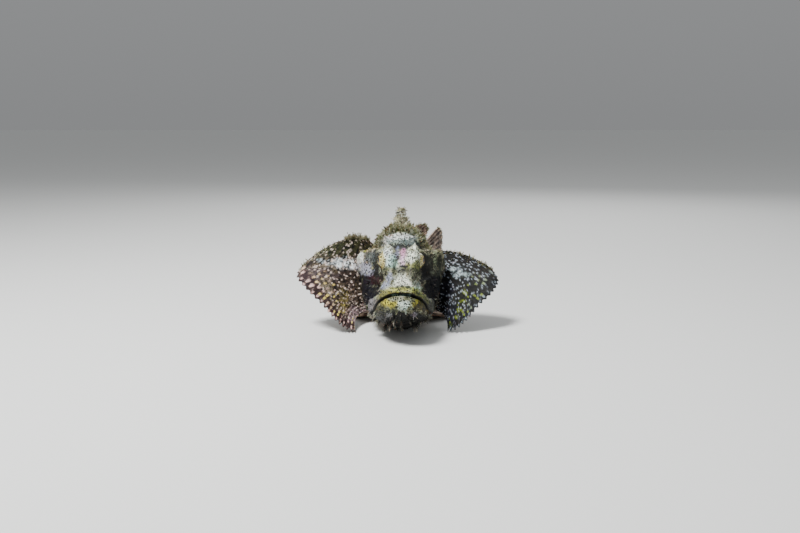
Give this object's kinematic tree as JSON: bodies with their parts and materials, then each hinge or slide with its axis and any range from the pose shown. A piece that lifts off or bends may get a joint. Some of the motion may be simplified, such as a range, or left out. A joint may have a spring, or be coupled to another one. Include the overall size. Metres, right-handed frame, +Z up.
{
  "type": "papuan scorpionfish",
  "caption": "Life-size still model of a papuan scorpionfish resting on its belly, with pectoral fins spread, mouth shut and tail bent to one side.",
  "frame": {"origin": "centre of the model's footprint, at the level of the floor that the belly rests on", "axes": "+Z up, -Y the way the snout points, +X the fish's left side, to which the tail bends"},
  "size_m": [0.1056, 0.1844, 0.0604],
  "materials": {
    "skin": "damp mottled fish skin, satin",
    "fin_skin": "thin spotted fin web, satin",
    "eye": "glossy eyeball"
  },
  "bodies": {
    "root": {"head": "skin", "lower_jaw": "skin", "torso": "skin", "tail": "skin", "gill_cover_left": "skin", "gill_cover_right": "skin", "dorsal_fin_spiny": "fin_skin", "dorsal_fin_soft": "fin_skin", "anal_fin": "fin_skin", "caudal_fin": "fin_skin", "pectoral_fin_left": "fin_skin", "pectoral_fin_right": "fin_skin", "pelvic_fin_left": "fin_skin", "pelvic_fin_right": "fin_skin", "eye_left": "eye", "eye_right": "eye"}
  },
  "joints": []
}
